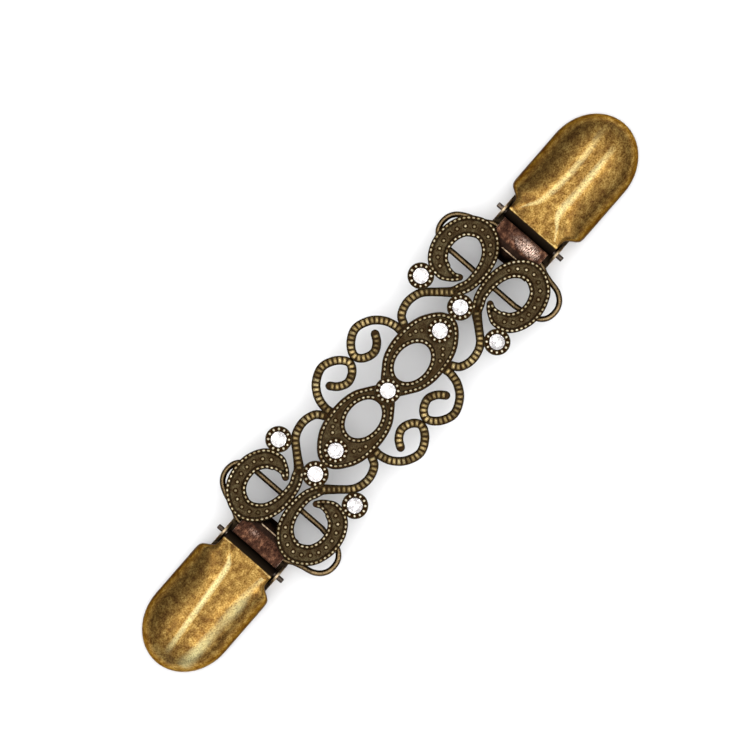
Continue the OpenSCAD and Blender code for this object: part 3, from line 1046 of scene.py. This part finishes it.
strip = {
    "lower": 39.2,
    "foldX": 35.9,
    "foldSteps": 44,
    "flatStep": 0.35,
    "edgeX": 34.83,          # the folded sheet's cut edge, a pale bar that shows as a bright line: partly paler metal, partly painted highlight
    "edgeSize": (0.15, 2.3, 0.12),
    "edgePower": 6.0,
    "edgeSink": 0.06,
    "cornerRound": 0.1,
    "shine": {
        # side: along and across place of its painted highlight, its spread both ways, and strength
        "right": (37.8, -2.0, 0.9, 2.2, 1.3),
        "left": (36.8, 2.1, 0.6, 0.9, 0.35),
    },
    "foldInsideShade": -0.92,      # painted shade on the top leaf's face in the fold
    "belowFoldShade": -0.3,
    "edgeShine": 0.8,
    "sideWide": 0.05,
    "sideShade": (0.72, 1.6),
    "foldShade": (0.8, 0.5),
    "jawFrom": 44.0,
    "jaw": 47.6,
    "jawFoot": 1.1,
    "jawZ": 1.25,
    "teeth": 9,
    "toothDepth": 0.35,
    "toothRoot": 0.1,
    "toothHalf": (0.42, 0.06),   # at its root, as a share of the spacing, and at its tip
}
stripTop = stripHigh[2] - stripSheet / 2
stripBottom = plateLow[2] + plate["thick"] + stripSheet / 2
stripMiddle = (stripTop + stripBottom) / 2
stripReach = strip["foldX"] - stripLow[0] - stripSheet / 2


def stripOutline():
    # under the ring's near bar, round it, along the top and down to the jaw
    line = [(strip["lower"], stripBottom)]
    rise = stripTop - stripMiddle
    line += arcAt(strip["foldX"], stripMiddle, stripReach, rise, -90, -270, strip["foldSteps"])
    line += [(strip["foldX"] + strip["flatStep"] * k, stripTop) for k in range(1, 18)]
    bend, jaw = strip["jawFrom"], strip["jaw"]
    jawZ = strip["jawZ"] + stripSheet / 2
    line += [
        (bend - 0.4, stripTop), (bend, stripTop - 0.05), (bend + 0.35, stripTop - 0.35),
        (jaw - 0.3, jawZ + 0.3), (jaw, jawZ + 0.03), (jaw + strip["jawFoot"], jawZ),
    ]
    return sheetOutline(line, stripSheet)


def stripLightAndShade(side, x, y, z):
    # painted light on the strip: a painted highlight, painted shade inside and under the fold, towards
    # its sides and near the fold, and a painted highlight along its edges
    if z > stripMiddle and x < strip["foldX"]:
        return strip["foldInsideShade"]
    if z < stripMiddle:
        return strip["belowFoldShade"]
    if abs(y) > stripHalf - strip["sideWide"]:
        return strip["edgeShine"]
    shineX, shineY, long, wide, most = strip["shine"][side]
    sideFrom, sideGain = strip["sideShade"]
    foldTo, foldGain = strip["foldShade"]
    shade = max(0.0, abs(y) / stripHalf - sideFrom) * sideGain
    shade += max(0.0, strip["foldX"] + foldTo - x) * foldGain
    return most * math.exp(-((x - shineX) / long) ** 2 - ((y - shineY) / wide) ** 2) - shade


def addTeeth(shape):
    toothEvery = 2 * stripHalf / strip["teeth"]
    thin = stripSheet / 2
    x = strip["jaw"] + strip["jawFoot"] - thin
    rootHalf, tipHalf = strip["toothHalf"]
    heights = strip["jawZ"] + strip["toothRoot"], strip["jawZ"] - strip["toothDepth"]
    for i in range(strip["teeth"]):
        y = (i - strip["teeth"] / 2 + 0.5) * toothEvery + clipShift
        ends = []
        for half, z in zip((toothEvery * rootHalf, tipHalf), heights):
            corners = (-thin, -half), (thin, -half), (thin, half), (-thin, half)
            ends.append([(x + dx, y + dy, z) for dx, dy in corners])
        addSections(shape, ends)


def stripShape(side):
    shape = blankShape()
    acrossSheet(shape, stripOutline(), stripHalf, strip["cornerRound"],
                lambda i, x, y, z: stripLightAndShade(side, x, y, z))
    lip = math.sin(math.acos((strip["edgeX"] - strip["foldX"]) / stripReach))
    lipZ = stripMiddle + (stripTop - stripMiddle) * lip + stripSheet / 2 - strip["edgeSink"]
    # the cut edge's pale bar, partly a painted highlight along the fold
    addPillow(shape, (strip["edgeX"], clipShift, lipZ), 0.0, strip["edgeSize"], strip["edgePower"], 1)
    addTeeth(shape)
    return shape


pin = {
    "sides": 24,
    "ends": ((0.0, 0.78), (0.08, 0.94), (0.2, 1.0)),   # in from each end, and share of the radius
}


def pinShape():
    half = (pinHigh[1] - pinLow[1]) / 2
    stations = [(depth - half, share) for depth, share in pin["ends"]]
    stations += [(half - depth, share) for depth, share in reversed(pin["ends"])]
    rings = [
        [(x, y + clipShift, z) for x, z in circleAt(pinX, pinZ, share * pinRadius, pin["sides"])]
        for y, share in stations
    ]
    shape = blankShape()
    addSections(shape, rings)
    return shape


lever = {
    "sheet": 0.5,
    "neckX": 41.4,
    "neckHalf": 5.95,
    "neckDrop": 0.45,        # from the crest's height down to the neck's
    "bodyFrom": 46.0,
    "endFrom": 58.0,
    "endSteps": 16,
    "endTurn": 89,
    "endSlope": 0.75,
    "across": 80,
    "noseReach": 1.9,
    "noseBack": 0.6,
    "noseRadius": 1.0,
    "noseSteps": 14,
    "noseLightAndShade": (0.45, -1.0),   # a painted highlight along its upper edge, and painted shade elsewhere
    "noseCorner": 0.15,
    "curve": ((2.3, 0.47), (12.0, 0.12)),   # powers of the section's curve, on the body and at the neck
    "ridgeHeight": 0.07,
    "ridgeShine": 0.84,
    # soft pressed ridges with painted highlights along them, partly rubbed wear: along, across, half
    # width and brightness
    "ridges": {
        "right": (
            ((42.0, 4.9, 0.35, 0.35), (44.1, 3.7, 0.45, 0.75), (46.6, 2.35, 0.6, 0.6),
             (52.4, 1.6, 0.7, 0.62), (59.3, 1.7, 0.7, 0.5), (62.5, 2.2, 0.9, 0.3), (65.5, 2.8, 1.0, 0.0)),
            ((42.0, -4.8, 0.3, 0.7), (44.0, -3.6, 0.4, 0.75), (46.7, -1.9, 0.7, 0.85),
             (52.6, -1.9, 0.8, 0.6), (57.2, -1.75, 0.7, 0.75), (61.8, -1.6, 0.7, 0.4),
             (63.8, -1.5, 0.8, 0.0)),
        ),
        "left": (
            ((42.4, 3.3, 0.5, 0.1), (43.6, 2.6, 0.55, 0.7), (45.5, 1.6, 0.6, 0.95), (51.4, 1.0, 0.6, 1.0),
             (58.0, 0.4, 0.6, 0.9), (63.0, -0.05, 0.55, 0.7), (65.5, -0.3, 0.6, 0.0)),
            ((42.4, -4.9, 0.5, 0.6), (45.6, -4.6, 0.9, 0.45), (50.0, -4.9, 1.2, 0.85),
             (55.3, -4.7, 1.2, 0.55), (61.0, -4.6, 1.1, 1.05), (63.4, -4.4, 1.1, 1.0),
             (65.4, -4.2, 1.1, 0.4)),
        ),
    },
    # painted shade: how dark the slopes on the plus and minus side get, and where they begin and are
    # darkest
    "slopes": {"right": (0.35, 0.23), "left": (0.25, 0.0)},
    "slopeSpan": (0.28, 0.63),
    # painted shade, even over each cover, and darker towards its rim
    "dim": {"right": 0.12, "left": 0.19},
    "rimSpan": (0.93, 0.99),
    "rimDark": 0.35,
    # painted light: the round end is brighter up to its rim, which has painted shade
    "endShine": {"right": 0.3, "left": 0.5},
    "endShineFrom": 0.3,
    "endRimFrom": 0.86,
    "endRimDark": 0.4,
    # the least that wear and painted light go down to, and painted shade on the cover's underside
    "lowestWearAndLight": -0.85,
    "undersideShade": -0.4,
}


def leverRows():
    # along, half width, crest, foot, and how square the section is, from 1 at the neck to 0
    low, high = leverLow[2], leverHigh[2]
    half = leverHalf
    neckZ = high - lever["neckDrop"]
    neck = lever["neckHalf"]
    rows = [
        (lever["neckX"], neck, neckZ, pinZ, 1.0),
        (42.2, neck, neckZ + 0.03, pinZ - 0.1, 1.0),
        (42.9, neck + 0.05, neckZ + 0.06, pinZ - 0.5, 0.9),
        (43.6, neck + 0.3, neckZ + 0.12, pinZ - 1.2, 0.75),
        (44.3, neck + 1.2, neckZ + 0.2, pinZ - 2.4, 0.6),
        (45.0, half - 0.5, neckZ + 0.28, pinZ - 3.6, 0.45),
        (45.9, half - 0.05, neckZ + 0.36, low + 0.4, 0.3),
        (47.6, half, high, low, 0.12),
        (51.0, half, high - 0.05, low, 0.0),
        (54.5, half, high - 0.25, low, 0.0),
        (lever["endFrom"], half, high - 0.65, low, 0.0),
    ]
    return smoothRows(rows, 4)


def leverStations(thin):
    rows = leverRows()
    low = leverLow[2]
    _, half, crest, _, _ = rows[-1]
    reach = leverHigh[0] - lever["endFrom"] - thin
    for i in range(1, lever["endSteps"] + 1):
        a = math.radians(i * lever["endTurn"] / lever["endSteps"])
        x = lever["endFrom"] + reach * math.sin(a)
        top = low + (crest - low) * math.cos(a) ** lever["endSlope"]
        rows.append((x, half * math.cos(a), top, low, 0.0))
    return rows


ridgeLines = {side: [smoothRows(ridge, 6) for ridge in lever["ridges"][side]] for side in sides}


def tableAt(rows, x):
    # the row of a table at place x, or None beyond its ends
    for first, second in zip(rows, rows[1:]):
        if first[0] <= x <= second[0]:
            t = (x - first[0]) / (second[0] - first[0])
            return [a + (b - a) * t for a, b in zip(first, second)]
    return None


def leverLightAndShade(side, x, y, half):
    # painted highlights on the ridges and painted shade on the slopes and rim, at one place
    shine = 0.0
    for ridge in ridgeLines[side]:
        row = tableAt(ridge, x)
        if row:
            _, middle, wide, bright = row
            shine = max(shine, lever["ridgeShine"] * bright * math.exp(-((y - middle) / wide) ** 2))
    v = abs(y) / half
    dark = lever["dim"][side]
    slope = lever["slopes"][side][0 if y > 0 else 1]
    dark += slope * shareAlong(v, *lever["slopeSpan"])
    dark += lever["rimDark"] * shareAlong(v, *lever["rimSpan"])
    return shine, shine - dark * (1 - shine)


def crownLine(row, thin, side):
    # one section of the domed cover, or of its underside, from edge to edge
    x, full, crest, foot, square = row
    half = max(full - thin, 0.1)
    rise = max(crest - thin - foot, 0.05)
    power, flat = (a + (b - a) * square for a, b in zip(*lever["curve"]))
    widest = leverHalf if x > lever["bodyFrom"] else full
    beyond = max(0.0, x - lever["endFrom"]) / (leverHigh[0] - lever["endFrom"])
    endLight = lever["endShine"][side] * max(0.0, beyond - lever["endShineFrom"])
    endLight -= lever["endRimDark"] * shareAlong(beyond, lever["endRimFrom"], 1)
    line = []
    for j in range(lever["across"] + 1):
        t = 2 * j / lever["across"] - 1
        v = 0.5 * t + 0.5 * math.sin(0.5 * math.pi * t)   # closer together towards the edges
        up = max(1 - abs(v) ** power, 0) ** flat
        y = half * v
        shine, rub = leverLightAndShade(side, x, y, widest)
        z = foot + rise * up + lever["ridgeHeight"] * shine
        line.append((x, y + clipShift, z, max(rub + endLight, lever["lowestWearAndLight"])))
    return line


def noseLine():
    # closed side view of the neck's dark front and the cam round the pin
    top = leverHigh[2] - lever["neckDrop"]
    neckX, reach, r = lever["neckX"], lever["noseReach"], lever["noseRadius"]
    steps = lever["noseSteps"]
    line = arcAt(neckX, pinZ, reach, top - pinZ, 180, 90, steps)
    backX = neckX + lever["noseBack"]
    line += [(backX, top - 0.02), (backX, pinZ + 0.2)]
    return line + arcAt(pinX, pinZ, r, r, 0, -180, steps)


def noseLightAndShade(i, x, y, z):
    # painted highlight along the neck's upper edge, painted shade elsewhere on its front
    edge, elsewhere = lever["noseLightAndShade"]
    return edge if i == lever["noseSteps"] else elsewhere


def leverShape(side):
    sections = []
    for outside, inside in zip(leverStations(0), leverStations(lever["sheet"])):
        top = crownLine(outside, 0, side)
        under = crownLine(inside, lever["sheet"], side)
        sections.append(top + [(x, y, z, lever["undersideShade"]) for x, y, z, _ in reversed(under)])
    shape = blankShape()
    addSections(shape, sections)
    acrossSheet(shape, noseLine(), lever["neckHalf"], lever["noseCorner"], noseLightAndShade)
    return shape


makeCasting()
makeFoils()
pairs = (
    # name, node, body, slot, materials, smooth angle, and the shape at each end
    ("wireRing", "ring", "ring", "bronze_wire", (wireBronze,), 60, [ringOfWire()] * 2),
    ("jawStrip", "jaw_strip", "clip", "copper_strip", (copper, cutEdgeShine), 30, map(stripShape, sides)),
    ("backPlate", "back_plate", "clip", "clip_bronze", (clipBronze,), 35, [plateShape()] * 2),
    ("hingePin", "hinge_pin", "clip", "pin_metal", (pinMetal,), 40, [pinShape()] * 2),
    ("leverCover", "lever", "lever", "antique_brass", (brass,), 42, map(leverShape, sides)),
)
for pair in pairs:
    makePair(*pair)


# Floor, light and camera

studio = {
    "floorHalf": 1.2,
    "floorGap": 0.00005,
    "softLight": 1.66,   # what lights the floor
    "stoneLight": 1.12,  # what shines through the stones
    "zenith": 0.95,      # what the metal mirrors from above
    "horizon": 0.22,     # and from the side
    "between": (0.1, 0.95),   # from where to where, as height on a dome of 1
    "lamps": [
        # they only show in the metal: name, place in metres, size in metres, power in watts
        ("stripLeft", (0.0, 0.22, 0.95), (0.9, 0.07), 2.1),
        ("stripRight", (0.0, -0.35, 0.95), (0.9, 0.09), 2.6),
        ("sideFill", (0.0, -0.80, 0.62), (1.2, 0.40), 1.3),
    ],
}
photo = {
    "roll": 49.0,            # how far the clip's long axis is turned up from the picture's level
    "centre": (0.65, 4.2),   # what the middle of the picture shows, in millimetres
    "width": 142.5,          # what the picture spans, in millimetres
    "distance": 2.0,
    "sensor": 36.0,
}


def makeFloor():
    half = studio["floorHalf"]
    mesh = bpy.data.meshes.new("floor")
    corners = [(-half, -half, 0), (half, -half, 0), (half, half, 0), (-half, half, 0)]
    mesh.from_pydata(corners, [], [(0, 1, 2, 3)])
    mesh.materials.append(plainMaterial("floorPaper", floorLook))
    floor = bpy.data.objects.new("floor", mesh)
    bpy.context.scene.collection.objects.link(floor)
    floor.location.z = cadLow[2] - studio["floorGap"]


def makeLights():
    scene = bpy.context.scene
    world = bpy.data.worlds.new("studio")
    scene.world = world
    world.use_nodes = True
    tree = world.node_tree
    where = addNode(tree, "ShaderNodeTexCoord", {}).outputs["Generated"]
    split = addNode(tree, "ShaderNodeSeparateXYZ", {"Vector": where})
    mirrored = rangeOf(tree, split.outputs["Z"], *studio["between"], studio["horizon"], studio["zenith"])
    path = addNode(tree, "ShaderNodeLightPath", {})
    plain, inStone = ((studio[key],) * 3 for key in ("softLight", "stoneLight"))
    shade = mixOf(tree, path.outputs["Is Glossy Ray"], plain, mirrored)
    shade = mixOf(tree, path.outputs["Is Transmission Ray"], shade, inStone)
    feed(tree, tree.nodes["Background"], {"Color": shade})
    for name, place, size, power in studio["lamps"]:
        data = bpy.data.lights.new(name, "AREA")
        data.shape = "RECTANGLE"
        data.size, data.size_y = size
        data.energy = power
        lamp = bpy.data.objects.new(name, data)
        lamp.location = place
        lamp.rotation_euler = (-Vector(place)).to_track_quat("-Z", "Y").to_euler()
        lamp.visible_diffuse = False
        scene.collection.objects.link(lamp)


def makeCamera():
    data = bpy.data.cameras.new("camera")
    data.type = "PERSP"
    data.sensor_width = photo["sensor"]
    data.lens = photo["sensor"] * photo["distance"] / (photo["width"] * mm)
    data.clip_start, data.clip_end = 0.01, 10
    camera = bpy.data.objects.new("camera", data)
    x, y = photo["centre"]
    camera.location = (x * mm, y * mm, rimZ * mm + photo["distance"])
    camera.rotation_euler = (0, 0, -math.radians(photo["roll"]))
    bpy.context.scene.collection.objects.link(camera)
    bpy.context.scene.camera = camera


makeFloor()
makeLights()
makeCamera()
bpy.context.scene.view_settings.view_transform = "Standard"
print("floor, lights and camera made")
